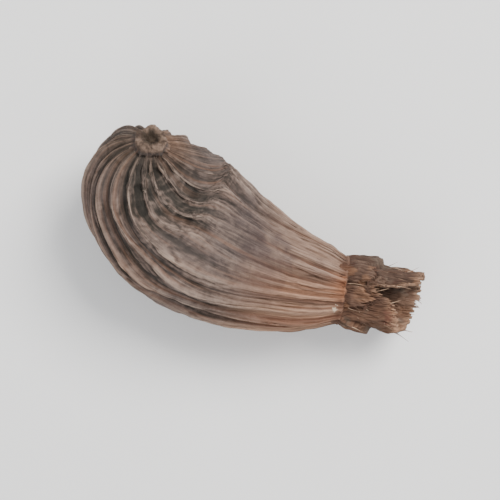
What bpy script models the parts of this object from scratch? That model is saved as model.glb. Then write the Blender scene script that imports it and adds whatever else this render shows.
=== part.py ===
"""A dried black cardamom pod, lying on its side on a small flat spot.

Two pieces: the ribbed husk, with the broken end of its stalk, and the dried remains of the flower,
a torn tuft that stands in the mouth of the husk's neck. X runs along the pod from the stalk to the
tuft, and Z is up.
"""

import math
import random

import bmesh
import bpy
from mathutils import Vector, noise

MM = 0.001

# The pod's axis is one cubic curve, from the broken stalk to the tip of the tuft.
STALK = Vector((-12.0, 6.0, 11.5)) * MM
STALK_PULL = Vector((-11.2, -2.8, 2.1)) * MM
TIP_PULL = Vector((3.1, -3.2, 7.4)) * MM
TIP = Vector((16.6, 1.4, 4.8)) * MM

# Sizes of the smooth body under the ribs, as shares of the axis where they are lengths along it.
BODY_RADIUS = 7.2 * MM
NECK_RADIUS = 3.5 * MM
FLATNESS = 0.9
WIDEST_AT = 0.32
NECK_AT = 0.815
BLUNTNESS = 2.3
LIP_LENGTH = 0.05
LIP_CLOSING = 0.08
THREE_SIDED = 0.035
LUMP_HEIGHT = 0.45 * MM

# Ribs and furrows.
RIBS = 20
RIB_HEIGHT = 0.42 * MM
FURROW_DEPTH = 0.38 * MM
RIB_WANDER = 0.5
FULL_RIB_RADIUS = 5.0 * MM

# A dent beside the stalk, a smoother panel on the upper side, and the place the pod rests on.
DENT_CENTRE = Vector((-9.3, 2.5, 12.5)) * MM
DENT_REACH = 2.9 * MM
DENT_DEPTH = 1.1 * MM
PANEL_CENTRE = Vector((0.4, 0.6, 11.9)) * MM
PANEL_REACH = 5.2 * MM
PANEL_CALM = 0.8
REST_CENTRE = Vector((-4.9, -1.0, 0.0)) * MM
REST_REACH = 5.0 * MM
REST_CALM = 0.7

# The broken end of the stalk, a low ring round a dark hollow.
STUB_RADIUS = 1.55 * MM
STUB_HEIGHT = 0.75 * MM
HOLLOW_RADIUS = 0.6 * MM
HOLLOW_DEPTH = 0.5 * MM
RIBS_START_RADIUS = 1.9 * MM

# The neck's mouth holds the tuft's root with a gap all round.
MOUTH_RADIUS = 2.2 * MM
MOUTH_DEPTH = 1.3 * MM
LIP_RISE = 0.2 * MM
GAP = 0.3 * MM

# The tuft is a crumpled tube with a torn rim. Each lobe or slit of the rim has a direction round the
# tube in degrees, a half width in degrees, and how much longer it makes the rim there.
TUBE_LENGTH = 4.5 * MM
FOOT_RADIUS = 2.4 * MM
TUBE_RADIUS = 2.9 * MM
TUBE_WALL = 0.8 * MM
TUBE_FLATNESS = 0.85
TUBE_FLOOR = 2.0 * MM
TUBE_FOLDS = 7
TUBE_FOLD_DEPTH = 0.28 * MM
RIM_LOBES = [
    (20.0, 36.0, 2.9 * MM),
    (75.0, 14.0, -1.4 * MM),
    (140.0, 30.0, 0.9 * MM),
    (212.0, 34.0, 2.3 * MM),
    (282.0, 40.0, 3.2 * MM),
]
RIM_RAGGEDNESS = 0.45 * MM
SCALES = 7
SCALE_THICKNESS = 0.45 * MM
SCALE_FLARE = 0.25 * MM

# Fineness of the surfaces.
HUSK_RINGS = 52
STEPS_PER_RIB = 4
TUBE_RINGS = 16
TUBE_SIDES = 72
PROFILE_STEPS = 400
SEED = 11


def clear_scene():
    for obj in list(bpy.data.objects):
        bpy.data.objects.remove(obj, do_unlink=True)


def smooth(share):
    share = min(1.0, max(0.0, share))
    return share * share * (3.0 - 2.0 * share)


def axis_point(t):
    """A point of the pod's axis, t running from 0 at the stalk to 1 at the tip of the tuft."""
    s = 1.0 - t
    return s**3 * STALK + 3 * s * s * t * STALK_PULL + 3 * s * t * t * TIP_PULL + t**3 * TIP


def axis_frame(t):
    """The axis point, its direction, and the sideways and upward directions of the section there."""
    s = 1.0 - t
    ahead = s * s * (STALK_PULL - STALK) + 2 * s * t * (TIP_PULL - STALK_PULL) + t * t * (TIP - TIP_PULL)
    ahead.normalize()
    side = Vector((0.0, 0.0, 1.0)).cross(ahead).normalized()
    return axis_point(t), ahead, side, ahead.cross(side)


def body_radius(t):
    """Half the smooth body's width: a blunt cap, a taper to the neck, and a lip that closes a little."""
    if t < WIDEST_AT:
        short = 1.0 - t / WIDEST_AT
        return BODY_RADIUS * (1.0 - short**BLUNTNESS) ** (1.0 / BLUNTNESS)
    share = (t - WIDEST_AT) / (NECK_AT - WIDEST_AT)
    taper = NECK_RADIUS + (BODY_RADIUS - NECK_RADIUS) * math.cos(0.5 * math.pi * min(1.0, share))
    return taper * (1.0 - LIP_CLOSING * smooth((t - NECK_AT + LIP_LENGTH) / LIP_LENGTH))


def rib_angle(rib, t):
    """Direction round the section of a place on the rib scale, where each whole number is a crest."""
    whole = math.floor(rib)

    def crest_place(number):
        number_round = number % RIBS
        drift = noise.noise(Vector((number_round * 5.3, t * 2.6, 4.0)))
        return number + RIB_WANDER * drift

    place = crest_place(whole) + (rib - whole) * (crest_place(whole + 1) - crest_place(whole))
    return 2.0 * math.pi * place / RIBS


def rib_lift(rib, t):
    """Height of the surface over the smooth body, positive on a crest and negative in a furrow."""
    whole = math.floor(rib)
    crest = round(rib) % RIBS
    height = RIB_HEIGHT * (0.75 + 1.6 * noise.noise(Vector((crest * 3.7, t * 4.0, 1.5))))
    depth = FURROW_DEPTH * (0.75 + 1.6 * noise.noise(Vector((whole % RIBS * 4.9, t * 4.0, 8.5))))
    height = max(0.05 * MM, height)
    depth = max(0.05 * MM, depth)
    from_furrow = abs(2.0 * (rib - whole) - 1.0)
    broad_crest = from_furrow * (2.0 - from_furrow)
    fade = smooth(body_radius(t) / FULL_RIB_RADIUS)
    return fade * (broad_crest * (height + depth) - depth)


def falloff(point, centre, reach):
    """1 at the centre, falling smoothly to 0 a few reaches away."""
    return math.exp(-((point - centre).length / reach) ** 2)


def husk_point(rib, t):
    """A point of the husk's outer surface."""
    centre, _, side, up = axis_frame(t)
    angle = rib_angle(rib, t)
    outward = side * math.cos(angle) + up * math.sin(angle)
    radius = body_radius(t) * (1.0 + THREE_SIDED * math.cos(3.0 * angle + 0.6))
    smooth_point = centre + radius * (side * math.cos(angle) + up * FLATNESS * math.sin(angle))
    lump = LUMP_HEIGHT * noise.noise(smooth_point * 180.0) * smooth(body_radius(t) / BODY_RADIUS)
    calm = 1.0 - REST_CALM * falloff(smooth_point, REST_CENTRE, REST_REACH)
    calm *= 1.0 - PANEL_CALM * falloff(smooth_point, PANEL_CENTRE, PANEL_REACH)
    dent = DENT_DEPTH * falloff(smooth_point, DENT_CENTRE, DENT_REACH)
    point = smooth_point + outward * (rib_lift(rib, t) * calm + lump * calm - dent)
    point.z = max(0.0, point.z)
    return point


def ring(t, radius, shift, sides):
    """A plain round ring square to the axis, moved along it by shift."""
    centre, ahead, side, up = axis_frame(t)
    turns = [2.0 * math.pi * n / sides for n in range(sides)]
    return [centre + ahead * shift + radius * (side * math.cos(a) + up * math.sin(a)) for a in turns]


def skin(name, rings, start, end, colour):
    """A closed object through rings of equally many points, closed by a fan to a point at each end."""
    sides = len(rings[0])
    points = [start] + [point for one in rings for point in one] + [end]
    last = len(points) - 1
    faces = []
    for n in range(sides):
        following = (n + 1) % sides
        faces.append((0, 1 + following, 1 + n))
        for level in range(len(rings) - 1):
            low = 1 + level * sides
            faces.append((low + n, low + following, low + sides + following, low + sides + n))
        top = 1 + (len(rings) - 1) * sides
        faces.append((top + n, top + following, last))
    mesh = bpy.data.meshes.new(name)
    mesh.from_pydata([tuple(point) for point in points], [], faces)
    solid = bmesh.new()
    solid.from_mesh(mesh)
    bmesh.ops.recalc_face_normals(solid, faces=solid.faces[:])
    solid.to_mesh(mesh)
    solid.free()
    mesh.shade_smooth()
    obj = bpy.data.objects.new(name, mesh)
    bpy.context.scene.collection.objects.link(obj)
    obj.data.materials.append(colour)
    return obj


def make_material(name, colour, roughness):
    material = bpy.data.materials.new(name)
    material.use_nodes = True
    shader = material.node_tree.nodes["Principled BSDF"]
    shader.inputs["Base Color"].default_value = (*colour, 1.0)
    shader.inputs["Roughness"].default_value = roughness
    shader.inputs["Metallic"].default_value = 0.0
    return material


def even_places(count):
    """Places along the axis whose rings lie evenly spaced on the surface, from the stub to the neck."""
    places = [NECK_AT * (step / PROFILE_STEPS) ** 2 for step in range(PROFILE_STEPS + 1)]
    places = [t for t in places if body_radius(t) >= RIBS_START_RADIUS or t > WIDEST_AT]
    lengths = [0.0]
    for before, after in zip(places, places[1:]):
        along = (axis_point(after) - axis_point(before)).length
        lengths.append(lengths[-1] + math.hypot(along, body_radius(after) - body_radius(before)))
    chosen = []
    step = 0
    for number in range(count):
        wanted = lengths[-1] * number / (count - 1)
        while step < len(lengths) - 2 and lengths[step + 1] < wanted:
            step += 1
        share = (wanted - lengths[step]) / (lengths[step + 1] - lengths[step])
        chosen.append(places[step] + share * (places[step + 1] - places[step]))
    return chosen


def stub_ring(radius, height, sides):
    """An uneven ring of the broken stalk, at a height over the place where it leaves the husk."""
    centre, ahead, side, up = axis_frame(0.0)
    points = []
    for n in range(sides):
        angle = 2.0 * math.pi * n / sides
        out = side * math.cos(angle) + up * math.sin(angle)
        uneven = noise.noise(out * 1.6 + Vector((0.0, 0.0, 7.0)))
        points.append(centre - ahead * height * (1.0 + 0.5 * uneven) + out * radius * (1.0 + 0.25 * uneven))
    return points


def make_husk():
    """The ribbed husk: a broken stalk on the blunt end and an open mouth in the neck."""
    sides = RIBS * STEPS_PER_RIB
    rings = [
        stub_ring(0.75 * HOLLOW_RADIUS, STUB_HEIGHT - HOLLOW_DEPTH, sides),
        stub_ring(HOLLOW_RADIUS, 0.9 * STUB_HEIGHT, sides),
        stub_ring(0.8 * STUB_RADIUS, STUB_HEIGHT, sides),
        stub_ring(STUB_RADIUS, 0.6 * STUB_HEIGHT, sides),
        stub_ring(STUB_RADIUS, -0.2 * MM, sides),
    ]
    for t in even_places(HUSK_RINGS):
        rings.append([husk_point(step / STEPS_PER_RIB, t) for step in range(sides)])
    rings.append(ring(NECK_AT, 0.8 * NECK_RADIUS, LIP_RISE, sides))
    rings.append(ring(NECK_AT, MOUTH_RADIUS, 0.5 * LIP_RISE, sides))
    rings.append(ring(NECK_AT, MOUTH_RADIUS, -MOUTH_DEPTH, sides))
    centre, ahead, _, _ = axis_frame(NECK_AT)
    stalk, inward, _, _ = axis_frame(0.0)
    hollow_floor = stalk + inward * (HOLLOW_DEPTH - STUB_HEIGHT)
    husk_brown = make_material("husk_brown", (0.20, 0.14, 0.11), 0.8)
    return skin("husk", rings, hollow_floor, centre - ahead * MOUTH_DEPTH, husk_brown)


def rim_length(angle):
    """Height of the tube's torn rim over the neck in a direction round it."""
    length = TUBE_LENGTH
    for direction, half_width, extra in RIM_LOBES:
        apart = (math.degrees(angle) - direction + 180.0) % 360.0 - 180.0
        length += extra * math.exp(-((apart / half_width) ** 4))
    ragged = noise.noise(Vector((3.5 * math.cos(angle), 3.5 * math.sin(angle), 2.2)))
    return length + RIM_RAGGEDNESS * ragged


def make_scales():
    """Direction, half width and height of each dried scale round the tube's foot."""
    draw = random.Random(SEED)
    scales = []
    for number in range(SCALES):
        direction = 2.0 * math.pi * (number + draw.uniform(-0.25, 0.25)) / SCALES
        scales.append((direction, draw.uniform(0.35, 0.6), draw.uniform(1.6, 3.6) * MM))
    return scales


def scale_lift(angle, height, scales):
    """Thickness that the scales add to the tube in a direction, at a height over the neck."""
    lift = 0.0
    for direction, half_width, top in scales:
        apart = (angle - direction + math.pi) % (2.0 * math.pi) - math.pi
        edge = top * (1.0 - (apart / half_width) ** 2)
        if 0.0 < height < edge:
            lift = max(lift, SCALE_THICKNESS + SCALE_FLARE * height / top)
    return lift


def tube_radius(angle, share, scales):
    """Outer radius of the tube, share running from 0 at the neck to 1 at its rim."""
    plain = FOOT_RADIUS + (TUBE_RADIUS - FOOT_RADIUS) * smooth(2.5 * share)
    folds = TUBE_FOLD_DEPTH * smooth(3.0 * share) * math.cos(TUBE_FOLDS * angle + 2.5 * share)
    crumple = noise.noise(Vector((1.6 * math.cos(angle), 1.6 * math.sin(angle), 3.0 * share)))
    return plain + folds + 0.5 * MM * crumple * share + scale_lift(angle, share * rim_length(angle), scales)


def tube_ring(share, low, wall, scales):
    """One ring of the tube: low is the height it starts from, and wall how far it lies inside the skin."""
    centre, ahead, side, up = axis_frame(NECK_AT)
    points = []
    for n in range(TUBE_SIDES):
        angle = 2.0 * math.pi * n / TUBE_SIDES
        height = low + share * (rim_length(angle) - low)
        outward = side * math.cos(angle) + TUBE_FLATNESS * up * math.sin(angle)
        points.append(centre + ahead * height + outward * (tube_radius(angle, share, scales) - wall))
    return points


def make_tuft():
    """The dried flower: a root in the neck's mouth and the crumpled, torn tube that stands out of it."""
    scales = make_scales()
    centre, ahead, _, _ = axis_frame(NECK_AT)
    foot = GAP + LIP_RISE
    rings = [ring(NECK_AT, MOUTH_RADIUS - GAP, height, TUBE_SIDES) for height in (GAP - MOUTH_DEPTH, foot)]
    for level in range(TUBE_RINGS + 1):
        rings.append(tube_ring(level / TUBE_RINGS, foot, 0.0, scales))
    for level in range(TUBE_RINGS, -1, -2):
        rings.append(tube_ring(level / TUBE_RINGS, TUBE_FLOOR, TUBE_WALL, []))
    start = centre + ahead * (GAP - MOUTH_DEPTH)
    tuft_brown = make_material("tuft_brown", (0.26, 0.14, 0.09), 0.85)
    return skin("calyx_tuft", rings, start, centre + ahead * TUBE_FLOOR, tuft_brown)


def main():
    clear_scene()
    make_husk()
    make_tuft()


main()
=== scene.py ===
"""The looks of a dried black cardamom pod lying on a pale floor, seen from above.

The husk and the dried flower keep the forms of their solids. Both get a fine skin from the same
formulas, with wrinkles, crinkled crests, torn edges and fibres added.
"""

import math
import random

import bpy
import numpy as np
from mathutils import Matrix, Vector, noise


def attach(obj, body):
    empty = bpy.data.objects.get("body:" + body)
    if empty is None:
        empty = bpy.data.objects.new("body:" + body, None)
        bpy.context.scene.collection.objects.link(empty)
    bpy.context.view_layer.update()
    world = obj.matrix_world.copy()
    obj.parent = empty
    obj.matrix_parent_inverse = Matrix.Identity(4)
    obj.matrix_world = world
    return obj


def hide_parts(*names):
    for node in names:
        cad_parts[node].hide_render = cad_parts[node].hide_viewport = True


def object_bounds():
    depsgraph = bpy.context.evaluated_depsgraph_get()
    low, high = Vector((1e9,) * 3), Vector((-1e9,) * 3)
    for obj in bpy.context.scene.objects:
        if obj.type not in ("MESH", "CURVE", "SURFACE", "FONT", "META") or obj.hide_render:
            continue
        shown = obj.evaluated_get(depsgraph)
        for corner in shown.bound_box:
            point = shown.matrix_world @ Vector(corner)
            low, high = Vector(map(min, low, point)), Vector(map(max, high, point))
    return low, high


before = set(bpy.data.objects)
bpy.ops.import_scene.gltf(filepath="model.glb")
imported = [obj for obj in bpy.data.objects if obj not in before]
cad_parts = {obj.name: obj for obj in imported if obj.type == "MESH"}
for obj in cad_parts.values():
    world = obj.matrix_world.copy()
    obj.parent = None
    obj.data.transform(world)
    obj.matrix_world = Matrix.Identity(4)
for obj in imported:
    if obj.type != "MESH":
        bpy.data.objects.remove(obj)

CAD_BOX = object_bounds()
MM = 0.001

# The pod's axis, body, ribs, dent, stalk and tuft, as in the solids.
STALK = np.array([-12.0, 6.0, 11.5]) * MM
STALK_PULL = np.array([-11.2, -2.8, 2.1]) * MM
TIP_PULL = np.array([3.1, -3.2, 7.4]) * MM
TIP = np.array([16.6, 1.4, 4.8]) * MM

BODY_RADIUS = 7.2 * MM
NECK_RADIUS = 3.5 * MM
FLATNESS = 0.9
WIDEST_AT = 0.32
NECK_AT = 0.815
BLUNTNESS = 2.3
LIP_LENGTH = 0.05
LIP_CLOSING = 0.08
THREE_SIDED = 0.035
LUMP_HEIGHT = 0.45 * MM

RIBS = 20
RIB_HEIGHT = 0.42 * MM
FURROW_DEPTH = 0.38 * MM
RIB_WANDER = 0.5
FULL_RIB_RADIUS = 5.0 * MM

DENT_CENTRE = np.array([-9.3, 2.5, 12.5]) * MM
DENT_REACH = 2.9 * MM
DENT_DEPTH = 1.1 * MM
PANEL_CENTRE = np.array([0.4, 0.6, 11.9]) * MM
PANEL_REACH = 5.2 * MM
PANEL_CALM = 0.8
REST_CENTRE = np.array([-4.9, -1.0, 0.0]) * MM
REST_REACH = 5.0 * MM
REST_CALM = 0.7

STUB_RADIUS = 1.55 * MM
STUB_HEIGHT = 0.75 * MM
HOLLOW_RADIUS = 0.6 * MM
HOLLOW_DEPTH = 0.5 * MM
RIBS_START_RADIUS = 1.9 * MM

MOUTH_RADIUS = 2.2 * MM
MOUTH_DEPTH = 1.3 * MM
LIP_RISE = 0.2 * MM
GAP = 0.3 * MM

TUBE_LENGTH = 4.5 * MM
TUBE_RADIUS = 2.9 * MM
TUBE_FLATNESS = 0.85
TUBE_FLOOR = 2.0 * MM
TUBE_FOLDS = 7
TUBE_FOLD_DEPTH = 0.28 * MM
RIM_LOBES = [
    (20.0, 36.0, 2.9 * MM),
    (75.0, 14.0, -1.4 * MM),
    (140.0, 30.0, 0.9 * MM),
    (212.0, 34.0, 2.3 * MM),
    (282.0, 40.0, 3.2 * MM),
]
RIM_RAGGEDNESS = 0.45 * MM
SCALES = 7
SCALE_THICKNESS = 0.45 * MM
SCALE_FLARE = 0.25 * MM
SEED = 11

# Fine detail that only this script adds: the husk's skin.
HUSK_RINGS = 212
STEPS_PER_RIB = 20
PROFILE_STEPS = 2000
SHOULDER_CENTRE = np.array([-6.8, 7.4, 8.0]) * MM
SHOULDER_REACH = 3.2 * MM
SHOULDER_CALM = 0.5
FADED_RIBS = 0.5
FADED_BELOW = 8.5 * MM
SECOND_FURROWS = 0.15 * MM
THIRD_FURROWS = 0.06 * MM
NECK_FURROWS = 1.3
NARROW_CREST = 0.6
CREST_WAVES = 0.14 * MM
CRINKLES = 0.05 * MM
DENT_FOLDS = 0.34 * MM
DENT_CALM = 0.5
STUB_FIBRES = 0.14 * MM
LIP_STEPS = (0.12, 0.3, 0.5, 0.75, 1.0)
FUSED_FOOT_RADIUS = 3.2 * MM
FUSED_FOOT_DEPTH = 0.7 * MM

# Small hollows that crumple the dent: their x and y, how far they reach, and how deep they are.
HOLLOWS = [
    (-10.8 * MM, 3.6 * MM, 1.3 * MM, 0.35 * MM),
    (-10.9 * MM, 0.8 * MM, 1.2 * MM, 0.3 * MM),
    (-6.8 * MM, 2.4 * MM, 1.4 * MM, 0.35 * MM),
]

# The skin of the dried flower and its loose fibres. The facing ring, counted from either end, is
# where the normals are seen to point in or out.
TUBE_SIDES = 480
TUBE_RINGS = 80
FACING_RING = 20
TUBE_CRUMPLE = 0.5 * MM
PAPER_WALL = 0.35 * MM
PAPER_VEINS = 0.15 * MM
PAPER_CRUMPLE = 0.13 * MM
PAPER_PLEATS = 0.26 * MM
RIM_TEETH = 0.8 * MM
SCALE_FRAY = 0.5 * MM
SCALE_FINE_FRAY = 0.6 * MM
SCALE_EDGE = 0.3 * MM
LOOSE_FIBRES = 90
FIBRE_RADIUS = 0.05 * MM
FIBRE_TAPER = 0.8
FIBRE_LENGTHS = (0.6, 2.0)
FIBRE_ROOT_DEPTH = 0.12 * MM
FIBRE_SIDES = 5
FIBRE_RINGS = 8

# Noises that close round the pod or the tube: cells round it, cells along it, and a seed.
FADED_CELLS = (6, 5.0, 12.4)
SECOND_CELLS = (60, 4.0, 1.7)
THIRD_CELLS = (100, 5.0, 3.1)
CREST_CELLS = (20, 11.0, 5.9)
CRINKLE_CELLS = (60, 24.0, 8.2)
VEIN_CELLS = (64, 2.4, 2.4)
CRUMPLE_CELLS = (18, 9.0, 6.6)
PLEAT_CELLS = (34, 2.0, 4.8)

# How wide a crease is, as the noise's distance from zero at which it has mostly faded.
SECOND_CREASE_WIDTH = 0.09
THIRD_CREASE_WIDTH = 0.12
VEIN_WIDTH = 0.13

# Noises in space, in cells per metre.
LUMP_SCALE = 180.0
FOLD_SCALE = 560.0
SMALL_FOLD_SCALE = 1300.0

# Crests in the colours, which paint shade into hollows and light onto bulges: how many steps off the
# neighbours are, and the height from furrow to crest.
HUSK_FINE_CREST = (2, 0.09 * MM)
HUSK_BROAD_CREST = (7, 0.85 * MM)
TUFT_FINE_CREST = (3, 0.12 * MM)
TUFT_BROAD_CREST = (9, 0.6 * MM)

# The numbers of the stub's rings where its hollow and its wood give way to the skin.
HOLLOW_EDGE_RING = 5.0
STUB_EDGE_RING = 11.0
STUB_BLEND_RINGS = 2.0

# Patches of the husk's colour, the olive one partly painted shadow: the middle and the reach of each.
PATCHES = {
    "grey": (np.array([2.0, 1.4, 10.6]) * MM, 5.0 * MM),
    "olive_and_shadow": (np.array([-13.4, 4.6, 10.4]) * MM, 2.6 * MM),
    "orange": (np.array([9.3, -0.1, 8.9]) * MM, 1.3 * MM),
    "pale_speck": (np.array([9.1, -2.5, 8.3]) * MM, 0.52 * MM),
    "warm": (np.array([-10.1, 7.4, 10.8]) * MM, 2.3 * MM),
}

# A dark patch beside the dent that takes the dent's colour, painted shade included.
DARK_CENTRE = np.array([-5.7, 2.5, 12.6]) * MM
DARK_REACH = 1.9 * MM

# Colours are red, green and blue. Tones run from furrow to crest, and shades are a dark and a light one.
# The husk's ramp from furrow to crest paints shade into the furrows and light onto the crests.
HUSK_TONES = [
    (0.0, (0.016, 0.014, 0.011)),
    (0.22, (0.040, 0.031, 0.024)),
    (0.48, (0.093, 0.065, 0.053)),
    (0.74, (0.172, 0.121, 0.097)),
    (1.0, (0.308, 0.227, 0.180)),
]
DUST = (0.123, 0.096, 0.088)
CALM_SKIN = (0.082, 0.065, 0.062)
# Pale on the crests: partly wear, partly painted highlight.
WORN_CREST_AND_HIGHLIGHT = (0.350, 0.262, 0.204)
WARM_STREAK = (0.207, 0.104, 0.064)
NECK_SHADES = ((0.168, 0.084, 0.053), (0.378, 0.252, 0.185))
LOW_SIDE_SHADES = ((0.130, 0.052, 0.028), (0.375, 0.214, 0.134))
NECK_FIBRE_TINTS = ((0.74, 0.70, 0.67), (1.42, 1.40, 1.38))
# Painted shade, dark red-brown, where the neck meets the tuft.
JUNCTION_SHADE = (0.085, 0.036, 0.023)
GREY_TINT = (0.50, 0.51, 0.58)
# Olive hue at the stalk end, partly painted shadow.
OLIVE_AND_SHADOW_TINT = (0.66, 0.66, 0.58)
ORANGE = (0.400, 0.170, 0.086)
# A small pale speck on the neck.
PALE_SPECK = (0.58, 0.46, 0.34)
STAIN = (0.040, 0.031, 0.027)
# The dent's colours: partly its own darker skin, partly painted shade.
DENT_SHADES = ((0.042, 0.038, 0.034), (0.168, 0.138, 0.118))
WARM_SHADES = ((0.070, 0.036, 0.022), (0.300, 0.176, 0.112))
WOOD_SHADES = ((0.080, 0.054, 0.040), (0.250, 0.170, 0.126))
# Painted shade in the stalk's hollow.
STALK_HOLLOW_SHADE = (0.044, 0.033, 0.023)

# The tuft's ramp from fold to edge paints shade into its folds.
TUFT_TONES = [
    (0.0, (0.030, 0.014, 0.010)),
    (0.25, (0.058, 0.028, 0.018)),
    (0.5, (0.095, 0.049, 0.032)),
    (0.76, (0.154, 0.086, 0.058)),
    (1.0, (0.226, 0.139, 0.095)),
]
BROWN_SHADES = ((0.020, 0.012, 0.009), (0.150, 0.103, 0.078))
ORANGE_SHADES = ((0.060, 0.024, 0.014), (0.330, 0.185, 0.110))
TAN_SHADES = ((0.130, 0.055, 0.028), (0.420, 0.225, 0.125))
DULL_SHADES = ((0.040, 0.030, 0.022), (0.180, 0.140, 0.108))
RED_PATCH = (0.085, 0.028, 0.020)
TORN_EDGE = (0.400, 0.235, 0.145)
# Painted shade at the tuft's foot, where it sits in the neck.
TUFT_FOOT_SHADE = (0.075, 0.030, 0.020)
FIBRE_SHADES = ((0.110, 0.056, 0.036), (0.440, 0.300, 0.205))
FLOOR_SHADES = ((0.84, 0.835, 0.825), (0.88, 0.877, 0.870))

# Bands along the top of the neck: how far to the side, half width, strength and colour of each.
NECK_BANDS = [
    (-0.11, 0.30, 0.45, (0.340, 0.172, 0.099)),
    (0.15, 0.09, 0.6, (0.080, 0.040, 0.026)),
    (-0.38, 0.10, 0.6, (0.080, 0.040, 0.026)),
]

# Noises in the materials that run along the pod: stretch, scale, detail, roughness and distortion.
HUSK_STREAKS = {
    "fibres": ((24.0, 24.0, 3.4), 2.2, 5.0, 0.7, 0.0),
    "streaks": ((7.0, 7.0, 0.9), 1.6, 4.0, 0.6, 0.3),
    "bands": ((12.0, 12.0, 0.8), 1.4, 3.0, 0.55, 0.0),
    "neck_fibres": ((18.0, 18.0, 2.2), 2.0, 5.0, 0.72, 0.0),
}
TUFT_STREAKS = {
    "fibres": ((26.0, 26.0, 2.0), 1.8, 5.0, 0.7, 0.0),
    "threads": ((60.0, 60.0, 2.6), 1.8, 3.0, 0.6, 0.0),
}

# Noises in the materials that are even in all directions: scale, detail, roughness and distortion.
HUSK_MOTTLES = {
    "patches": (260.0, 4.0, 0.6, 0.0),
    "specks": (1900.0, 3.0, 0.7, 0.0),
    "wrinkles": (820.0, 4.0, 0.6, 0.5),
    "clouds": (330.0, 3.0, 0.6, 0.5),
    "speck_edge": (2600.0, 2.0, 0.6, 0.0),
    "stains": (420.0, 5.0, 0.7, 0.6),
    "broken": (1300.0, 4.0, 0.65, 0.4),
}
TUFT_MOTTLES = {
    "patches": (360.0, 4.0, 0.6, 0.0),
    "specks": (2100.0, 3.0, 0.7, 0.0),
    "hues": (430.0, 2.0, 0.5, 0.4),
    "reds": (620.0, 2.0, 0.5, 0.4),
}
FIBRE_MOTTLE = (500.0, 2.0, 0.5, 0.0)
FLOOR_MOTTLE = (60.0, 3.0, 0.5, 0.0)

HUSK_BUMP = 0.16 * MM
TUFT_BUMP = 0.14 * MM

# The camera looks straight down, turned so that the pod lies on its slope in the photograph.
SLOPE = 20.1
VIEW_WIDTH = 46 * MM
LENS = 200.0
SENSOR = 36.0
CLIP_START = 10 * MM

# Soft square lights: the direction each shines from, its distance, size, power and colour.
LIGHTS = {
    "key": ((0.26, 0.55, 0.80), 0.4, 0.2, 2.3, (1.0, 0.98, 0.95)),
    "fill": ((-0.3, -0.9, 0.8), 0.5, 0.4, 1.0, (0.97, 0.98, 1.0)),
}
SKY_COLOUR = (0.95, 0.97, 1.0)
SKY_STRENGTH = 0.85
FLOOR_HALF_WIDTH = 400 * MM


def smooth(share):
    """0 below 0, 1 above 1, and a rise between them with soft ends."""
    share = np.clip(share, 0.0, 1.0)
    return share * share * (3.0 - 2.0 * share)


def field(x, y, z):
    """Smooth noise, mostly between -0.6 and 0.6, at the places that three arrays give together."""
    x, y, z = np.broadcast_arrays(x, y, z)
    places = np.stack([x, y, z], axis=-1).reshape(-1, 3).tolist()
    return np.array([noise.noise(place) for place in places]).reshape(x.shape)


def round_field(turn, along, cells_round, cells_along, seed):
    """Noise that closes round the pod, with about so many cells round it and along it."""
    reach = cells_round / (2.0 * math.pi)
    return field(reach * np.cos(turn), reach * np.sin(turn) + seed, cells_along * along + 7.3 * seed)


def creases(values, width):
    """1 along the thin lines where a noise field crosses zero, 0 away from them."""
    return np.exp(-((values / width) ** 2))


def circle_field(angle, reach, height):
    """Noise on a circle, which closes round it, at a height in the noise."""
    return field(reach * np.cos(angle), reach * np.sin(angle), height)


def space_field(points, scale):
    """Noise in space at each point, with so many cells per metre."""
    return field(*(points[..., n] * scale for n in range(3)))


def even_turns(sides):
    """Directions spaced evenly round a ring."""
    return 2.0 * math.pi * np.arange(sides) / sides


def axis_point(t):
    """Points on the pod's axis, from 0 at the stalk to 1 at the tip."""
    s = 1.0 - t
    t, s = t[:, None], s[:, None]
    return s**3 * STALK + 3 * s * s * t * STALK_PULL + 3 * s * t * t * TIP_PULL + t**3 * TIP


def axis_frame(t):
    """Axis points, their directions, and the sideways and upward directions of the sections there."""
    s = (1.0 - t)[:, None]
    u = t[:, None]
    ahead = s * s * (STALK_PULL - STALK) + 2 * s * u * (TIP_PULL - STALK_PULL) + u * u * (TIP - TIP_PULL)
    ahead /= np.linalg.norm(ahead, axis=1)[:, None]
    side = np.cross([0.0, 0.0, 1.0], ahead)
    side /= np.linalg.norm(side, axis=1)[:, None]
    return axis_point(t), ahead, side, np.cross(ahead, side)


def frame_at(place):
    """The axis point at one place, with its direction and the sideways and upward directions there."""
    return tuple(each[0] for each in axis_frame(np.array([place])))


def body_radius(t):
    """Half the smooth body's width: a blunt cap, a taper to the neck, and a lip that closes a little."""
    short = np.clip(1.0 - t / WIDEST_AT, 0.0, 1.0)
    cap = BODY_RADIUS * (1.0 - short**BLUNTNESS) ** (1.0 / BLUNTNESS)
    share = np.clip((t - WIDEST_AT) / (NECK_AT - WIDEST_AT), 0.0, 1.0)
    taper = NECK_RADIUS + (BODY_RADIUS - NECK_RADIUS) * np.cos(0.5 * math.pi * share)
    taper *= 1.0 - LIP_CLOSING * smooth((t - NECK_AT + LIP_LENGTH) / LIP_LENGTH)
    return np.where(t < WIDEST_AT, cap, taper)


def even_places(count):
    """Places along the axis whose rings lie evenly spaced on the surface, from the stub to the neck."""
    places = NECK_AT * np.linspace(0.0, 1.0, PROFILE_STEPS + 1) ** 2
    places = places[(body_radius(places) >= RIBS_START_RADIUS) | (places > WIDEST_AT)]
    steps = np.linalg.norm(np.diff(axis_point(places), axis=0), axis=1)
    lengths = np.concatenate([[0.0], np.cumsum(np.hypot(steps, np.diff(body_radius(places))))])
    return np.interp(np.linspace(0.0, lengths[-1], count), lengths, places)


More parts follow.
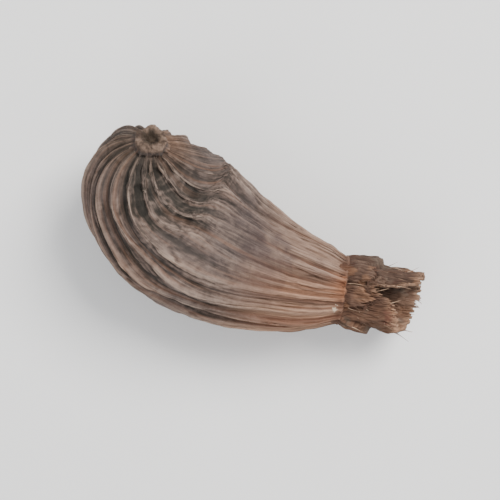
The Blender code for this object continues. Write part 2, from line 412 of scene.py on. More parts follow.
def rib_relief(t):
    """The ribs as a grid of rings by columns: directions, crests from 0 to 1, and lifts in metres."""
    rib = np.arange(RIBS * STEPS_PER_RIB) / STEPS_PER_RIB
    whole = np.floor(rib).astype(int)
    part = rib - whole
    numbers = np.arange(RIBS + 1)
    crest_place = numbers + RIB_WANDER * field(numbers % RIBS * 5.3, t[:, None] * 2.6, 4.0)
    place = crest_place[:, whole] + part * (crest_place[:, whole + 1] - crest_place[:, whole])
    angle = 2.0 * math.pi * place / RIBS

    ribs = np.arange(RIBS)
    heights = RIB_HEIGHT * (0.75 + 1.6 * field(ribs * 3.7, t[:, None] * 4.0, 1.5))
    depths = FURROW_DEPTH * (0.75 + 1.6 * field(ribs * 4.9, t[:, None] * 4.0, 8.5))
    height = np.maximum(0.05 * MM, heights)[:, np.round(rib).astype(int) % RIBS]
    depth = np.maximum(0.05 * MM, depths)[:, whole % RIBS]
    from_furrow = np.abs(2.0 * part - 1.0)
    broad_crest = from_furrow * (2.0 - from_furrow)
    crest = broad_crest + NARROW_CREST * (from_furrow**2 - broad_crest)
    fade = smooth(body_radius(t) / FULL_RIB_RADIUS)[:, None]
    lift = fade * (crest * (height + depth) - depth)
    return angle, crest, lift


def calm_share(points):
    """How much of the relief is left: less on the rest spot, the panel and the shoulder."""
    calm = 1.0 - REST_CALM * falloff(points, REST_CENTRE, REST_REACH)
    calm *= 1.0 - PANEL_CALM * falloff(points, PANEL_CENTRE, PANEL_REACH)
    calm *= 1.0 - SHOULDER_CALM * falloff(points, SHOULDER_CENTRE, SHOULDER_REACH)
    return calm


def husk_form(t):
    """The husk's surface as a grid of rings by columns, with the solid's formulas.

    Returns the points, each point's height between furrow and crest from 0 to 1, and how much of the
    ribs' height is left there.
    """
    angle, crest, lift = rib_relief(t)
    centre, _, side, up = (each[:, None, :] for each in axis_frame(t))
    cosine, sine = np.cos(angle)[..., None], np.sin(angle)[..., None]
    outward = side * cosine + up * sine
    radius = body_radius(t)[:, None] * (1.0 + THREE_SIDED * np.cos(3.0 * angle + 0.6))
    plain = centre + radius[..., None] * (side * cosine + up * FLATNESS * sine)
    lump = LUMP_HEIGHT * space_field(plain, LUMP_SCALE)
    lump *= smooth(body_radius(t) / BODY_RADIUS)[:, None]
    calm = calm_share(plain)
    faded = np.clip(0.3 + 2.0 * round_field(angle, t[:, None], *FADED_CELLS), 0.0, 1.0)
    faded = FADED_RIBS * faded * smooth((FADED_BELOW - plain[..., 2]) / (3.0 * MM))
    dent = falloff(plain, DENT_CENTRE, DENT_REACH)
    lift = lift * (1.0 - DENT_CALM * dent) * (1.0 - faded)
    points = plain + outward * ((lift + lump) * calm - DENT_DEPTH * dent)[..., None]
    return points, np.broadcast_to(crest, angle.shape), calm


def falloff(points, centre, reach):
    """1 at the centre, falling smoothly to 0 a few reaches away."""
    return np.exp(-((np.linalg.norm(points - centre, axis=-1) / reach) ** 2))


def grid_normals(points):
    """Outward unit normals of a grid of rings that runs along the pod."""
    along = np.gradient(points, axis=0)
    across = np.roll(points, -1, axis=1) - np.roll(points, 1, axis=1)
    normals = np.cross(across, along)
    return normals / np.maximum(np.linalg.norm(normals, axis=2), 1e-12)[..., None]


def bulge(points, normals, reach):
    """How far each point of a grid stands over the middle of its neighbours, in metres."""
    before = np.concatenate([np.repeat(points[:1], reach, axis=0), points[:-reach]])
    after = np.concatenate([points[reach:], np.repeat(points[-1:], reach, axis=0)])
    middle = 0.25 * (before + after + np.roll(points, reach, axis=1) + np.roll(points, -reach, axis=1))
    return np.sum((points - middle) * normals, axis=2)


def crest_share(points, normals, reach, height):
    """0 in a furrow, 0.5 on even ground and 1 on a crest, with that height from furrow to crest."""
    return np.clip(0.5 + bulge(points, normals, reach) / height, 0.0, 1.0)


def husk_detail(t, points, turn, crest, calm):
    """Depth of the fine relief, all of it cut in from the solid's surface."""
    along = (t / NECK_AT)[:, None]
    second = creases(round_field(turn, along, *SECOND_CELLS), SECOND_CREASE_WIDTH)
    third = creases(round_field(turn, along, *THIRD_CELLS), THIRD_CREASE_WIDTH)
    waves = np.clip(0.5 + 1.2 * round_field(turn, along, *CREST_CELLS), 0.0, 1.0)
    crinkle = 1.0 - 2.0 * np.abs(round_field(turn, along, *CRINKLE_CELLS))
    fade = smooth(body_radius(t) / (0.8 * FULL_RIB_RADIUS))[:, None]
    strength = 0.3 + 0.7 * calm
    on_neck = 1.0 + NECK_FURROWS * smooth((along - 0.5) / 0.35)
    depth = SECOND_FURROWS * second * (0.5 + 0.5 * crest) + THIRD_FURROWS * third * on_neck
    depth = depth + CREST_WAVES * waves * crest**2 + CRINKLES * crinkle
    return depth * fade * strength + dent_folds(points)


def dent_folds(points):
    """Depth of the sharp folds in the dent."""
    folds = np.abs(space_field(points, FOLD_SCALE))
    small_folds = np.abs(space_field(points, SMALL_FOLD_SCALE))
    dent = falloff(points, DENT_CENTRE, 1.15 * DENT_REACH)
    return DENT_FOLDS * dent * (1.0 + small_folds - 2.0 * folds)


def dent_hollows(depth, points):
    """The depth with the small hollows added that crumple the dent, on the upper side alone."""
    on_top = points[..., 2] > points[..., 2].mean()
    for x, y, reach, deep in HOLLOWS:
        away = np.hypot(points[..., 0] - x, points[..., 1] - y) / reach
        depth = depth + deep * np.exp(-(away**2)) * on_top
    return depth


def stub_rings(sides):
    """Rings of the broken stalk from the floor of its hollow to the husk, with broken fibres."""
    profile = [
        (0.4 * HOLLOW_RADIUS, STUB_HEIGHT - HOLLOW_DEPTH),
        (0.75 * HOLLOW_RADIUS, STUB_HEIGHT - HOLLOW_DEPTH),
        (0.9 * HOLLOW_RADIUS, 0.5 * STUB_HEIGHT),
        (HOLLOW_RADIUS, 0.9 * STUB_HEIGHT),
        (0.55 * STUB_RADIUS, 0.97 * STUB_HEIGHT),
        (0.68 * STUB_RADIUS, STUB_HEIGHT),
        (0.8 * STUB_RADIUS, STUB_HEIGHT),
        (0.9 * STUB_RADIUS, 0.92 * STUB_HEIGHT),
        (0.97 * STUB_RADIUS, 0.8 * STUB_HEIGHT),
        (STUB_RADIUS, 0.6 * STUB_HEIGHT),
        (STUB_RADIUS, 0.3 * STUB_HEIGHT),
        (STUB_RADIUS, 0.0),
        (1.05 * STUB_RADIUS, -0.15 * MM),
    ]
    centre, ahead, side, up = frame_at(0.0)
    angle = even_turns(sides)
    out = side * np.cos(angle)[:, None] + up * np.sin(angle)[:, None]
    uneven = field(*(out[:, n] * 1.6 + (7.0 if n == 2 else 0.0) for n in range(3)))
    chips = circle_field(angle, 2.4, 6.1)
    rings = []
    for number, (radius, height) in enumerate(profile):
        fibres = circle_field(angle, 4.5, 0.8 * number) + 1.4 * chips
        tall = height * (1.0 + 0.5 * uneven) - STUB_FIBRES * (0.7 + fibres) * (height > 0.0)
        wide = radius * (1.0 + 0.25 * uneven) - 0.6 * STUB_FIBRES * (0.7 + fibres) * (number > 6)
        rings.append(centre - ahead * tall[:, None] + out * wide[:, None])
    return np.array(rings)


def plain_ring(t, radius, shift, sides):
    """One round ring across the axis, moved ahead along it."""
    centre, ahead, side, up = frame_at(t)
    angle = even_turns(sides)
    out = side * np.cos(angle)[:, None] + up * np.sin(angle)[:, None]
    return (centre + ahead * shift + radius * out)[None]


def lip_rings(edge, sides):
    """Rings that round the neck's uneven edge over into its mouth, torn a little along the way."""
    ahead = frame_at(NECK_AT)[1]
    mouth = plain_ring(NECK_AT, MOUTH_RADIUS, 0.0, sides)[0]
    round_mouth = 12.0 * (mouth / MOUTH_RADIUS)
    torn = 1.0 + 0.8 * field(round_mouth[:, 1], round_mouth[:, 2], 3.3)
    rings = []
    for share in LIP_STEPS:
        rise = LIP_RISE * math.sin(math.pi * (0.1 + 0.7 * share)) * torn
        rings.append(edge + share * (mouth - edge) + ahead * rise[:, None])
    return np.array(rings)


def add_mesh(name, points, faces):
    """A smoothly shaded mesh object in the scene."""
    mesh = bpy.data.meshes.new(name)
    mesh.from_pydata(points, [], faces)
    mesh.shade_smooth()
    obj = bpy.data.objects.new(name, mesh)
    bpy.context.scene.collection.objects.link(obj)
    return obj


def skin(name, grid, start, end, values):
    """A mesh through a grid of rings, closed to a point at each end, with named values on its points."""
    rings, sides = grid.shape[:2]
    points = np.concatenate([[start], grid.reshape(-1, 3), [end]])
    ring_start = 1 + np.arange(rings - 1)[:, None] * sides
    column = np.arange(sides)[None, :]
    following = (column + 1) % sides
    low, low_next = ring_start + column, ring_start + following
    quads = np.stack([low, low_next, low_next + sides, low + sides], axis=-1).reshape(-1, 4)
    column, following = np.arange(sides), (np.arange(sides) + 1) % sides
    top = 1 + (rings - 1) * sides
    first_fan = np.stack([np.zeros(sides, int), 1 + following, 1 + column], axis=1)
    last_fan = np.stack([top + column, top + following, np.full(sides, len(points) - 1)], axis=1)
    obj = add_mesh(name, points.tolist(), quads.tolist() + first_fan.tolist() + last_fan.tolist())
    for value_name, value in values.items():
        kind, key = ("FLOAT", "value") if value.ndim == 2 else ("FLOAT_VECTOR", "vector")
        flat = value.reshape(rings * sides, -1)
        flat = np.concatenate([flat[:1], flat, flat[-1:]])
        obj.data.attributes.new(value_name, kind, "POINT").data.foreach_set(key, flat.ravel())
    return obj


def inside_box(points):
    """The points, with any that stand out of the solids' box moved onto it."""
    return np.clip(points, np.array(CAD_BOX[0]), np.array(CAD_BOX[1]))


def carved_husk(t, turn):
    """The husk's rings with their fine relief cut in, and their normals, crests and calm."""
    body, crest, calm = husk_form(t)
    normals = grid_normals(body)
    middle_ring = body[HUSK_RINGS // 2]
    outward = middle_ring[0] - middle_ring.mean(axis=0)
    if np.sum(normals[HUSK_RINGS // 2, 0] * outward) < 0.0:
        normals = -normals
    detail = dent_hollows(husk_detail(t, body, turn, crest, calm), body)
    detail[0] = 0.0
    detail[-1] = 0.0
    body = body - normals * detail[..., None]
    body[..., 2] = np.maximum(0.0, body[..., 2])
    return body, normals, crest, calm


def ring_mask(rings, sides, edge):
    """1 on the stub's rings up to the one numbered edge, fading to 0 there."""
    return np.zeros((rings, sides)) + smooth((edge - np.arange(rings)) / STUB_BLEND_RINGS)[:, None]


def husk_values(t, turn, body, normals, crest, calm, before, after):
    """Values on the husk's points for its material, with so many rings before and after the body."""
    sides = len(turn)

    def extend(values, stub_value=0.0, mouth_value=0.0):
        stub = np.full((before, sides), stub_value)
        mouth = np.full((after, sides), mouth_value)
        return np.concatenate([stub, values, mouth])

    along = extend((t / NECK_AT)[:, None] * np.ones(sides), 0.0, 1.0)
    dent = falloff(body, DENT_CENTRE, 1.2 * DENT_REACH)
    off_stub = np.zeros((len(body) + after, sides))
    values = {
        "fine": extend(crest_share(body, normals, *HUSK_FINE_CREST), 0.5, 0.2),
        "broad": extend(crest_share(body, normals, *HUSK_BROAD_CREST), 0.4, 0.2),
        "crest": extend(0.5 + (crest - 0.5) * calm, 0.5, 0.3),
        "along": along,
        "calm": extend(calm, 1.0, 1.0),
        "dent": extend(np.maximum(dent, falloff(body, DARK_CENTRE, DARK_REACH))),
        "stub": np.concatenate([ring_mask(before, sides, STUB_EDGE_RING), off_stub]),
        "hollow_shade": np.concatenate([ring_mask(before, sides, HOLLOW_EDGE_RING), off_stub]),
        "grain": np.stack(np.broadcast_arrays(np.cos(turn), np.sin(turn), along), axis=-1),
    }
    for name, (centre, reach) in PATCHES.items():
        values[name] = extend(falloff(body, centre, reach))
    return values


def make_husk():
    """The husk's fine skin, with the broken stalk and the mouth in its neck."""
    sides = RIBS * STEPS_PER_RIB
    turn = even_turns(sides)
    t = even_places(HUSK_RINGS)
    body, normals, crest, calm = carved_husk(t, turn)
    stub = stub_rings(sides)
    mouth_floor = plain_ring(NECK_AT, MOUTH_RADIUS, -MOUTH_DEPTH, sides)
    neck = np.concatenate([lip_rings(body[-1], sides), mouth_floor])
    grid = inside_box(np.concatenate([stub, body, neck]))
    values = husk_values(t, turn, body, normals, crest, calm, len(stub), len(neck))
    centre, ahead, _, _ = frame_at(NECK_AT)
    stalk, inward, _, _ = frame_at(0.0)
    hollow_floor = stalk + inward * (HOLLOW_DEPTH - STUB_HEIGHT)
    return skin("husk_skin", grid, hollow_floor, centre - ahead * MOUTH_DEPTH, values)


def rim_length(angle):
    """Height of the tube's torn rim over the neck in each direction round it."""
    length = TUBE_LENGTH + RIM_RAGGEDNESS * circle_field(angle, 3.5, 2.2)
    for direction, half_width, extra in RIM_LOBES:
        apart = (np.degrees(angle) - direction + 180.0) % 360.0 - 180.0
        length = length + extra * np.exp(-((apart / half_width) ** 4))
    return length


def fine_rim(angle):
    """The torn rim with small teeth cut into it."""
    teeth = 0.4 + circle_field(angle, 19.0, 5.1)
    return rim_length(angle) - RIM_TEETH * np.clip(teeth, 0.0, 1.0)


def make_scales():
    """Direction, half width and height of each dried scale round the tube's foot."""
    draw = random.Random(SEED)
    scales = []
    for number in range(SCALES):
        direction = 2.0 * math.pi * (number + draw.uniform(-0.25, 0.25)) / SCALES
        scales.append((direction, draw.uniform(0.35, 0.6), draw.uniform(1.6, 3.6) * MM))
    return scales


def scale_lift(angle, height, scales):
    """Thickness that the scales add to the tube at a height over the neck, with frayed top edges."""
    lift = np.zeros_like(angle)
    fray = SCALE_FRAY * circle_field(angle, 11.0, 9.4)
    fray = fray + SCALE_FINE_FRAY * circle_field(angle, 24.0, 1.8)
    for direction, half_width, top in scales:
        apart = (angle - direction + math.pi) % (2.0 * math.pi) - math.pi
        edge = top * (1.0 - np.abs(apart / half_width) ** 1.5) + fray
        here = SCALE_THICKNESS * smooth(0.2 + 2.0 * height / top) + SCALE_FLARE * height / top
        lift = np.maximum(lift, here * smooth((edge - height) / SCALE_EDGE))
    return lift


def tube_grid(shares, low, wall, scales):
    """Rings of the tube's paper: low is the height they start from, wall how far they lie inside."""
    angle = np.broadcast_to(even_turns(TUBE_SIDES), (len(shares), TUBE_SIDES))
    share = np.broadcast_to(np.array(shares)[:, None], angle.shape)
    plain = FUSED_FOOT_RADIUS + (TUBE_RADIUS - FUSED_FOOT_RADIUS) * smooth(2.5 * share)
    folds = TUBE_FOLD_DEPTH * (0.5 + 0.5 * smooth(3.0 * share)) * np.cos(TUBE_FOLDS * angle + 2.5 * share)
    crumple = TUBE_CRUMPLE * circle_field(angle, 1.6, 3.0 * share) * share
    height = low + share * (fine_rim(angle) - low)
    lift = scale_lift(angle, height, scales)
    veins = PAPER_VEINS * creases(round_field(angle, share, *VEIN_CELLS), VEIN_WIDTH)
    fine_crumple = PAPER_CRUMPLE * (0.5 + round_field(angle, share, *CRUMPLE_CELLS))
    fine_crumple = fine_crumple + PAPER_PLEATS * np.abs(round_field(angle, share, *PLEAT_CELLS))
    relief = (veins + fine_crumple) * (0.4 + 0.6 * smooth(4.0 * share))
    radius = plain + folds + crumple + lift - wall - relief
    centre, ahead, side, up = frame_at(NECK_AT)
    outward = side * np.cos(angle)[..., None] + TUBE_FLATNESS * up * np.sin(angle)[..., None]
    return centre + ahead * height[..., None] + outward * radius[..., None], angle, share


def outer_tube():
    """The outside of the tube, with its scales, from its fused foot to its torn rim."""
    shares = np.linspace(0.0, 1.0, TUBE_RINGS + 1)
    return tube_grid(shares, -FUSED_FOOT_DEPTH, 0.0, make_scales())


def facing(normals, ring):
    """1 where a ring's normals point away from its middle, and -1 where they point to it."""
    return np.sign(np.sum(normals * (ring - ring.mean(axis=0))))


def make_tuft():
    """The dried flower's fine skin: a crumpled, torn tube of papery tissue with scales at its foot."""
    centre, ahead, _, _ = frame_at(NECK_AT)
    outer, outer_angle, outer_share = outer_tube()
    inner_shares = np.linspace(1.0, 0.0, TUBE_RINGS // 2)
    inner, inner_angle, inner_share = tube_grid(inner_shares, TUBE_FLOOR, PAPER_WALL, [])
    root = plain_ring(NECK_AT, MOUTH_RADIUS - GAP, GAP - MOUTH_DEPTH, TUBE_SIDES)
    grid = inside_box(np.concatenate([root, outer, inner]))
    angle = np.concatenate([outer_angle[:1], outer_angle, inner_angle])
    share = np.concatenate([outer_share[:1], outer_share, inner_share])
    outside = len(root) + len(outer)
    inside = np.concatenate([np.zeros((outside, TUBE_SIDES)), np.ones((len(inner), TUBE_SIDES))])
    normals = grid_normals(grid)
    normals[:outside] *= facing(normals[FACING_RING], grid[FACING_RING])
    normals[outside:] *= -facing(normals[-FACING_RING], grid[-FACING_RING])
    values = {
        "fine": crest_share(grid, normals, *TUFT_FINE_CREST),
        "broad": crest_share(grid, normals, *TUFT_BROAD_CREST),
        "along": share,
        "inside": inside,
        "grain": np.stack([np.cos(angle), np.sin(angle), share], axis=-1),
    }
    start = centre + ahead * (GAP - MOUTH_DEPTH)
    return skin("tuft_skin", grid, start, centre + ahead * TUBE_FLOOR, values)


def fibre_points(root, length, lean, bend, out, across):
    """Rings of points along one curled fibre that thins out, then its root and its tip."""
    points = []
    for number in range(FIBRE_RINGS):
        share = number / FIBRE_RINGS
        middle = root + length * (share * lean + share * share * bend)
        radius = FIBRE_RADIUS * (1.0 - FIBRE_TAPER * share)
        for turn in even_turns(FIBRE_SIDES):
            points.append(middle + radius * (out * math.cos(turn) + across * math.sin(turn)))
    return points + [root, root + length * (lean + bend)]


def fibre_faces(first, last):
    """Faces of one fibre: its rings start at the point numbered first, and its tip is numbered last."""
    faces = []
    top = first + (FIBRE_RINGS - 1) * FIBRE_SIDES
    for number in range(FIBRE_SIDES):
        following = (number + 1) % FIBRE_SIDES
        faces.append((last - 1, first + following, first + number))
        for ring in range(first, top, FIBRE_SIDES):
            low, low_next = ring + number, ring + following
            faces.append((low, low_next, low_next + FIBRE_SIDES, low + FIBRE_SIDES))
        faces.append((top + number, top + following, last))
    return faces


def make_fibres():
    """Loose fibres that stand out of the tuft's paper, each a thin curled rod that ends in a point."""
    draw = random.Random(SEED + 1)
    paper, angles, _ = outer_tube()
    _, ahead, side, up = frame_at(NECK_AT)
    points, faces = [], []
    for _ in range(LOOSE_FIBRES):
        row, column = draw.randint(TUBE_RINGS // 5, TUBE_RINGS), draw.randrange(TUBE_SIDES)
        out = side * math.cos(angles[row, column]) + up * math.sin(angles[row, column])
        across = np.cross(ahead, out)
        length = draw.uniform(*FIBRE_LENGTHS) * MM
        lean = ahead + draw.uniform(0.0, 0.5) * out + draw.uniform(-0.5, 0.5) * across
        bend = draw.uniform(-0.5, 0.3) * out + draw.uniform(-0.5, 0.5) * across
        root = paper[row, column] - FIBRE_ROOT_DEPTH * (out + ahead)
        first = len(points)
        points += fibre_points(root, length, lean, bend, out, across)
        faces += fibre_faces(first, len(points) - 1)
    return add_mesh("tuft_fibres", inside_box(np.array(points)).tolist(), faces)


def add_node(tree, kind, inputs=None, **settings):
    """A shader node. Inputs are values or the output sockets of other nodes."""
    node = tree.nodes.new(kind)
    for name, value in settings.items():
        setattr(node, name, value)
    for name, value in (inputs or {}).items():
        if isinstance(value, bpy.types.NodeSocket):
            tree.links.new(value, node.inputs[name])
        else:
            node.inputs[name].default_value = value
    return node


def attribute(tree, name, output="Fac"):
    """A value that the mesh carries on its points."""
    return add_node(tree, "ShaderNodeAttribute", attribute_name=name).outputs[output]


def object_places(tree):
    return add_node(tree, "ShaderNodeTexCoord").outputs["Object"]


def calculate(tree, operation, first, second=0.0):
    return add_node(tree, "ShaderNodeMath", {0: first, 1: second}, operation=operation).outputs[0]


def weighted_sum(tree, parts):
    """The sum of (value, weight) parts."""
    shares = [calculate(tree, "MULTIPLY", value, weight) for value, weight in parts]
    total = shares[0]
    for share in shares[1:]:
        total = calculate(tree, "ADD", total, share)
    return total


def remap(tree, value, low, high, low_to=0.0, high_to=1.0):
    """A value taken smoothly from the range low to high onto the range low_to to high_to."""
    inputs = {0: value, 1: low, 2: high, 3: low_to, 4: high_to}
    return add_node(tree, "ShaderNodeMapRange", inputs, interpolation_type="SMOOTHSTEP").outputs[0]


def opaque(colour):
    """Red, green and blue with an alpha of 1, or a socket as it is."""
    return colour if isinstance(colour, bpy.types.NodeSocket) else (*colour, 1.0)


def mix(tree, factor, first, second, blend="MIX"):
    """Two colours, each a socket or red, green and blue, blended by a factor."""
    inputs = {0: factor, 6: opaque(first), 7: opaque(second)}
    return add_node(tree, "ShaderNodeMix", inputs, data_type="RGBA", blend_type=blend).outputs[2]


def mottle(tree, places, scale, detail, roughness, distortion):
    """A noise from 0 to 1 at the places."""
    inputs = {"Vector": places, "Scale": scale, "Detail": detail, "Roughness": roughness}
    inputs["Distortion"] = distortion
    return add_node(tree, "ShaderNodeTexNoise", inputs).outputs[0]


def stretch(tree, places, factors):
    return add_node(tree, "ShaderNodeVectorMath", {0: places, 1: factors}, operation="MULTIPLY").outputs[0]


def make_noises(tree, streaks, mottles):
    """The noises of a material by name: streaks run along the pod, and mottles are even."""
    grain = attribute(tree, "grain", "Vector")
    where = object_places(tree)
    noises = {}
    for name, (factors, *settings) in streaks.items():
        noises[name] = mottle(tree, stretch(tree, grain, factors), *settings)
    for name, settings in mottles.items():
        noises[name] = mottle(tree, where, *settings)
    return noises, add_node(tree, "ShaderNodeSeparateXYZ", {0: grain}).outputs


def tones(tree, factor, stops):
    """A colour ramp through (place, colour) stops."""
    node = add_node(tree, "ShaderNodeValToRGB", {0: factor})
    while len(node.color_ramp.elements) < len(stops):
        node.color_ramp.elements.new(1.0)
    for element, (place, colour) in zip(node.color_ramp.elements, stops):
        element.position = place
        element.color = (*colour, 1.0)
    return node.outputs[0]


def new_material(name, roughness, specular):
    """A material with its node tree and its shader."""
    material = bpy.data.materials.new(name)
    material.use_nodes = True
    shader = material.node_tree.nodes["Principled BSDF"]
    shader.inputs["Roughness"].default_value = roughness
    shader.inputs["Specular IOR Level"].default_value = specular
    return material, material.node_tree, shader


def bump(tree, shader, height, distance, strength):
    """Fine relief in the shader alone, finer than the mesh."""
    inputs = {"Strength": strength, "Distance": distance, "Height": height}
    tree.links.new(add_node(tree, "ShaderNodeBump", inputs).outputs[0], shader.inputs["Normal"])


def husk_tone_and_shade(tree, noises):
    """How light the skin is, from furrow to crest: painted shade in the furrows and painted highlight on the
    crests, with noise for the skin's own tone, and painted shade towards the stalk end.
    """
    return remap(tree, weighted_sum(tree, [
        (attribute(tree, "crest"), 0.18),
        (attribute(tree, "broad"), 0.42),
        # Painted shade: the skin gets darker towards the stalk end.
        (attribute(tree, "along"), 0.2),
        (attribute(tree, "fine"), 0.2),
        (noises["fibres"], 0.66),
        (noises["streaks"], 0.5),
        (noises["wrinkles"], 0.42),
        (noises["specks"], 0.30),
    ]), 0.98, 1.81)


def weathered_skin(tree, noises, tone):
    """Brown skin with dust, a smoother dull panel, pale crests that are partly wear and partly painted
    highlight, and warm streaks.
    """
    colour = tones(tree, tone, HUSK_TONES)
    dust = remap(tree, noises["patches"], 0.42, 0.66, 0.0, 0.34)
    colour = mix(tree, dust, colour, DUST)
    calm_skin = remap(tree, attribute(tree, "calm"), 0.2, 0.95, 0.40, 0.0)
    colour = mix(tree, calm_skin, colour, CALM_SKIN)
    # Pale crests: partly wear, partly painted highlight.
    on_crest = remap(tree, attribute(tree, "crest"), 0.7, 1.0)
    worn_and_highlight = calculate(tree, "MULTIPLY", on_crest, remap(tree, noises["fibres"], 0.42, 0.6, 0.1, 0.7))
    colour = mix(tree, worn_and_highlight, colour, WORN_CREST_AND_HIGHLIGHT)
    warm_streaks = remap(tree, noises["streaks"], 0.50, 0.68, 0.0, 0.42)
    return mix(tree, warm_streaks, colour, WARM_STREAK)


def neck_skin(tree, noises, sides, neck, colour):
    """The orange-brown neck, redder on its low side, with darker bands along its top."""
    band_tone = remap(tree, noises["bands"], 0.36, 0.56)
    neck_colour = mix(tree, band_tone, *NECK_SHADES)
    colour = mix(tree, neck, colour, mix(tree, 0.3, neck_colour, colour))
    low_side = calculate(tree, "MULTIPLY", remap(tree, sides[0], -0.9, 0.5, 0.65, 0.0), neck)
    colour = mix(tree, low_side, colour, mix(tree, band_tone, *LOW_SIDE_SHADES))
    neck_top = calculate(tree, "MULTIPLY", remap(tree, sides[1], 0.0, 0.4), neck)
    wander = calculate(tree, "ADD", sides[0], remap(tree, noises["patches"], 0.3, 0.7, -0.04, 0.04))
    for place, half_width, strength, shade in NECK_BANDS:
        apart = calculate(tree, "ABSOLUTE", calculate(tree, "SUBTRACT", wander, place))
        band = remap(tree, apart, 0.4 * half_width, half_width, strength, 0.0)
        colour = mix(tree, calculate(tree, "MULTIPLY", band, neck_top), colour, shade)
    return colour


def patched_skin(tree, noises, neck, colour):
    """A greyer panel, fibres on the neck and painted shade at its rim where the tuft meets it, and orange,
    pale, olive (partly painted shadow) and stained places.
    """
    clouds = remap(tree, noises["clouds"], 0.40, 0.60, 0.25, 1.0)
    grey = calculate(tree, "MULTIPLY", attribute(tree, "grey"), clouds)
    colour = mix(tree, grey, colour, GREY_TINT, "MULTIPLY")
    fibre_tint = mix(tree, remap(tree, noises["neck_fibres"], 0.36, 0.64), *NECK_FIBRE_TINTS)
    colour = mix(tree, neck, colour, fibre_tint, "MULTIPLY")
    # Painted shade, dark red-brown, where the neck meets the tuft.
    junction_shade = remap(tree, attribute(tree, "along"), 0.97, 1.0, 0.0, 0.6)
    colour = mix(tree, junction_shade, colour, JUNCTION_SHADE)
    between_fibres = remap(tree, noises["neck_fibres"], 0.3, 0.6, 0.35, 1.0)
    orange = calculate(tree, "MULTIPLY", attribute(tree, "orange"), between_fibres)
    colour = mix(tree, orange, colour, ORANGE)
    # A small pale speck with a ragged edge on the neck.
    ragged = calculate(tree, "MULTIPLY", noises["speck_edge"], 1.4)
    pale_speck = calculate(tree, "ADD", attribute(tree, "pale_speck"), ragged)
    colour = mix(tree, remap(tree, pale_speck, 1.18, 1.42), colour, PALE_SPECK)
    # Painted shadow at the stalk end, with the skin's own olive hue.
    olive_and_shadow = calculate(tree, "MULTIPLY", attribute(tree, "olive_and_shadow"), 0.9)
    colour = mix(tree, olive_and_shadow, colour, OLIVE_AND_SHADOW_TINT, "MULTIPLY")
    stains = remap(tree, noises["stains"], 0.56, 0.74, 0.0, 0.35)
    return mix(tree, stains, colour, STAIN)


def stalk_end_skin(tree, noises, tone, colour):
    """The dent, darker partly in its own skin and partly as painted shade, the warm place beside the stalk,
    the stalk's broken wood, and painted shade in the stalk's hollow.
    """
    # The dent is painted darker: partly its own darker skin, partly painted shade in the hollow.
    dent = calculate(tree, "MULTIPLY", attribute(tree, "dent"), 0.42)
    colour = mix(tree, dent, colour, mix(tree, tone, *DENT_SHADES))
    warm = calculate(tree, "MULTIPLY", attribute(tree, "warm"), 0.75)
    colour = mix(tree, warm, colour, mix(tree, tone, *WARM_SHADES))
    wood = mix(tree, remap(tree, noises["broken"], 0.36, 0.66), *WOOD_SHADES)
    colour = mix(tree, attribute(tree, "stub"), colour, wood)
    # Painted shade in the stalk's hollow.
    hollow_shade = calculate(tree, "MULTIPLY", attribute(tree, "hollow_shade"), 0.8)
    return mix(tree, hollow_shade, colour, STALK_HOLLOW_SHADE)


def husk_material():
    """Dusty fibrous skin: furrows painted dark as shade, pale crests partly worn and partly painted
    highlight, a greyer smooth panel and an orange-brown neck.
    """
    material, tree, shader = new_material("dry_husk", 0.8, 0.2)
    noises, sides = make_noises(tree, HUSK_STREAKS, HUSK_MOTTLES)
    tone = husk_tone_and_shade(tree, noises)
    neck = remap(tree, attribute(tree, "along"), 0.62, 0.90, 0.0, 0.9)
    colour = weathered_skin(tree, noises, tone)
    colour = neck_skin(tree, noises, sides, neck, colour)
    colour = patched_skin(tree, noises, neck, colour)
    colour = stalk_end_skin(tree, noises, tone, colour)
    tree.links.new(colour, shader.inputs["Base Color"])
    tree.links.new(remap(tree, tone, 0.0, 1.0, 0.92, 0.7), shader.inputs["Roughness"])
    height = weighted_sum(tree, [
        (noises["fibres"], 1.0),
        (noises["specks"], 0.4),
        (noises["wrinkles"], 1.2),
        (noises["neck_fibres"], neck),
    ])
    bump(tree, shader, height, HUSK_BUMP, 0.9)
    return material


def tuft_tone_and_shade(tree, noises):
    """How light the paper is, from fold to edge: painted shade in the folds, with noise for the paper's own
    tone.
    """
    return remap(tree, weighted_sum(tree, [
        (attribute(tree, "broad"), 0.3),
        (attribute(tree, "fine"), 0.2),
        (noises["fibres"], 0.55),
        (noises["threads"], 0.35),
        (noises["patches"], 0.55),
        (noises["specks"], 0.14),
        (attribute(tree, "along"), 0.12),
        (attribute(tree, "inside"), 0.34),
    ]), 0.65, 1.72)


def paper_hues(tree, noises, side, tone):
    """Paper that is browner on one side and more orange on the other, with tan, dull and red patches."""
    colour = tones(tree, tone, TUFT_TONES)
    for factor, shades in (
        (remap(tree, side, -0.2, 0.9, 0.0, 0.5), BROWN_SHADES),
        (remap(tree, side, -0.9, 0.2, 0.45, 0.0), ORANGE_SHADES),
        (remap(tree, noises["hues"], 0.55, 0.68, 0.0, 0.6), TAN_SHADES),
        (remap(tree, noises["hues"], 0.32, 0.44, 0.55, 0.0), DULL_SHADES),
    ):
        colour = mix(tree, factor, colour, mix(tree, tone, *shades))
    return mix(tree, remap(tree, noises["reds"], 0.58, 0.68, 0.0, 0.6), colour, RED_PATCH)


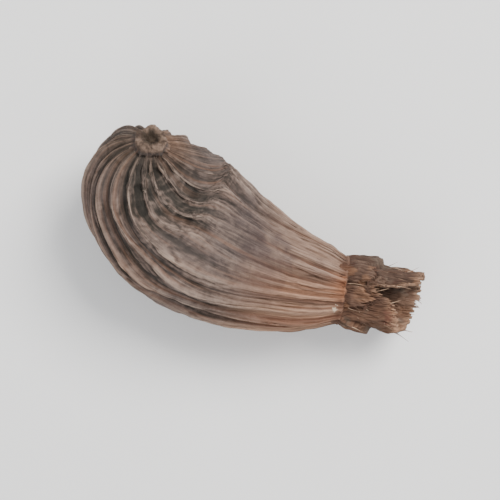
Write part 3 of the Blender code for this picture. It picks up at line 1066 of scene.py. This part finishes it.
def tuft_material():
    """Papery, reddish-brown tissue, painted dark in its folds as shade, and orange-tan at its torn edges."""
    material, tree, shader = new_material("dry_calyx", 0.78, 0.25)
    noises, sides = make_noises(tree, TUFT_STREAKS, TUFT_MOTTLES)
    tone = tuft_tone_and_shade(tree, noises)
    colour = paper_hues(tree, noises, sides[0], tone)
    along = attribute(tree, "along")
    near_rim = remap(tree, along, 0.86, 1.0, 0.0, 0.6)
    torn = calculate(tree, "MULTIPLY", near_rim, remap(tree, noises["threads"], 0.38, 0.62))
    colour = mix(tree, torn, colour, TORN_EDGE)
    # Painted shade at the tuft's foot, where it sits in the neck.
    colour = mix(tree, remap(tree, along, 0.06, 0.24, 0.5, 0.0), colour, TUFT_FOOT_SHADE)
    tree.links.new(colour, shader.inputs["Base Color"])
    tree.links.new(remap(tree, tone, 0.0, 1.0, 0.9, 0.65), shader.inputs["Roughness"])
    height = weighted_sum(tree, [
        (noises["fibres"], 1.0),
        (noises["threads"], 1.0),
        (noises["specks"], 0.4),
    ])
    bump(tree, shader, height, TUFT_BUMP, 0.8)
    return material


def fibre_material():
    """Loose fibres, some pale as straw and some brown."""
    material, tree, shader = new_material("dry_fibres", 0.75, 0.25)
    tone = remap(tree, mottle(tree, object_places(tree), *FIBRE_MOTTLE), 0.4, 0.62)
    tree.links.new(mix(tree, tone, *FIBRE_SHADES), shader.inputs["Base Color"])
    return material


def add_floor():
    """A plain pale floor, flat, and far wider than the view."""
    half = FLOOR_HALF_WIDTH
    corners = [(-half, -half, 0.0), (half, -half, 0.0), (half, half, 0.0), (-half, half, 0.0)]
    floor = add_mesh("floor", corners, [(0, 1, 2, 3)])
    material, tree, shader = new_material("pale_floor", 0.9, 0.2)
    shade = mottle(tree, object_places(tree), *FLOOR_MOTTLE)
    tree.links.new(mix(tree, shade, *FLOOR_SHADES), shader.inputs["Base Color"])
    floor.data.materials.append(material)


def add_area_light(name, direction, distance, size, power, colour):
    """A soft square light that looks at the pod from a direction."""
    data = bpy.data.lights.new(name, "AREA")
    data.shape = "SQUARE"
    data.size = size
    data.energy = power
    data.color = colour
    lamp = bpy.data.objects.new(name, data)
    lamp.location = Vector(direction).normalized() * distance
    lamp.rotation_euler = Vector(direction).to_track_quat("Z", "Y").to_euler()
    bpy.context.scene.collection.objects.link(lamp)


def add_light():
    """A soft key light and a soft fill light under a pale sky."""
    for name, settings in LIGHTS.items():
        add_area_light(name, *settings)
    world = bpy.data.worlds.new("studio")
    world.use_nodes = True
    background = world.node_tree.nodes["Background"]
    background.inputs["Color"].default_value = (*SKY_COLOUR, 1.0)
    background.inputs["Strength"].default_value = SKY_STRENGTH
    bpy.context.scene.world = world


def add_camera():
    """Straight down onto the pod, a long lens, turned by the pod's slope in the photograph."""
    data = bpy.data.cameras.new("camera")
    data.lens = LENS
    data.sensor_width = SENSOR
    data.clip_start = CLIP_START
    camera = bpy.data.objects.new("camera", data)
    middle = 0.5 * (Vector(CAD_BOX[0]) + Vector(CAD_BOX[1]))
    camera.location = middle + Vector((0.0, 0.0, VIEW_WIDTH * LENS / SENSOR))
    camera.rotation_euler = (0.0, 0.0, math.radians(SLOPE))
    bpy.context.scene.collection.objects.link(camera)
    bpy.context.scene.camera = camera


def dress(piece, material, node):
    """Gives a piece its material, ties it to the body, and hides the solid it stands for."""
    piece.data.materials.append(material)
    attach(piece, "root")
    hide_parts(node)


add_camera()
add_light()
add_floor()
dress(make_husk(), husk_material(), "husk")
dress(make_tuft(), tuft_material(), "calyx_tuft")
dress(make_fibres(), fibre_material(), "calyx_tuft")
